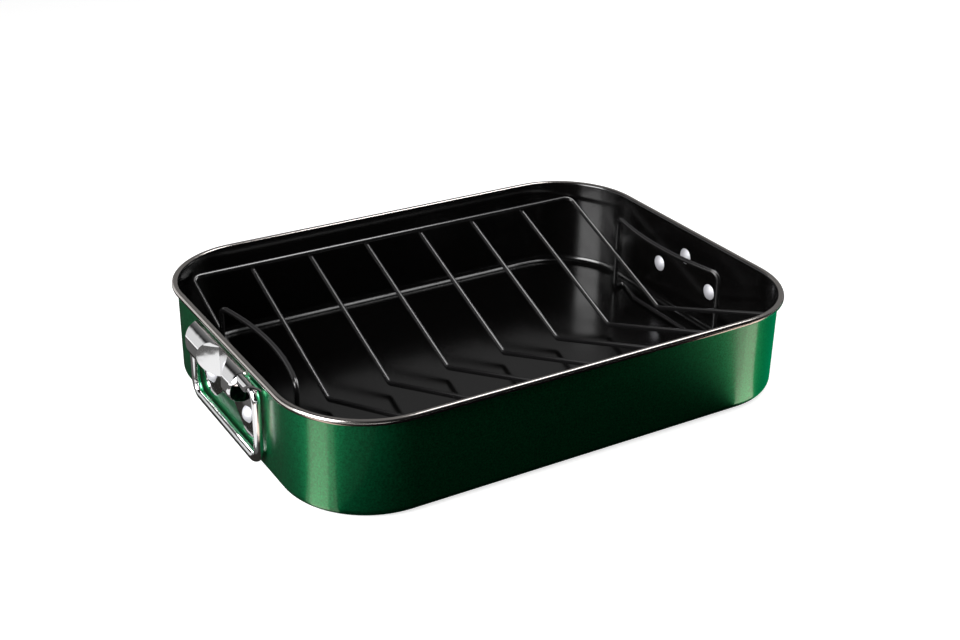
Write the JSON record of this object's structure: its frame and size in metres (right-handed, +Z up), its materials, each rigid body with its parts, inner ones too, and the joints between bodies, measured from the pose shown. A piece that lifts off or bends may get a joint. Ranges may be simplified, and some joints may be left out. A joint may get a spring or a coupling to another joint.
{
  "type": "roasting pan with rack",
  "caption": "Rectangular roasting pan with rounded corners, rolled rim, swinging wire bail handles and a loose V-shaped wire rack that lifts out.",
  "frame": {"origin": "middle of the pan's underside, on the surface that it stands on", "axes": "+X along the pan towards its right-hand bail, +Y across the pan to the rear, +Z up"},
  "size_m": [0.4196, 0.301, 0.074],
  "materials": {
    "pan_sheet": "green metallic lacquer outside, black non-stick inside",
    "handle_chrome": "polished",
    "rivet_metal": "satin",
    "rack_coating": "black semi-gloss coating on steel wire"
  },
  "bodies": {
    "pan": {"pan_body": "pan_sheet", "left_handle_bracket": "handle_chrome", "left_upper_rivet": "rivet_metal", "left_front_rivet": "rivet_metal", "left_rear_rivet": "rivet_metal", "right_handle_bracket": "handle_chrome", "right_upper_rivet": "rivet_metal", "right_front_rivet": "rivet_metal", "right_rear_rivet": "rivet_metal"},
    "left_handle": {"left_bail": "handle_chrome"},
    "right_handle": {"right_bail": "handle_chrome"},
    "rack": {"left_rack_stand": "rack_coating", "right_rack_stand": "rack_coating", "rack_frame": "rack_coating", "rack_cross_wire_1": "rack_coating", "rack_cross_wire_2": "rack_coating", "rack_cross_wire_3": "rack_coating", "rack_cross_wire_4": "rack_coating", "rack_cross_wire_5": "rack_coating", "rack_cross_wire_6": "rack_coating"}
  },
  "joints": [
    {"name": "left_handle_swing", "type": "hinge", "parent": "pan", "child": "left_handle", "pos_m": [-0.2003, 0, 0.06023], "axis": [0, 1, 0], "range_deg": [0, 105]},
    {"name": "right_handle_swing", "type": "hinge", "parent": "pan", "child": "right_handle", "pos_m": [0.2003, 0, 0.06023], "axis": [0, -1, 0], "range_deg": [0, 105]},
    {"name": "rack_lift", "type": "slide", "parent": "pan", "child": "rack", "axis": [0, 0, 1], "range_m": [0, 0.12]}
  ]
}
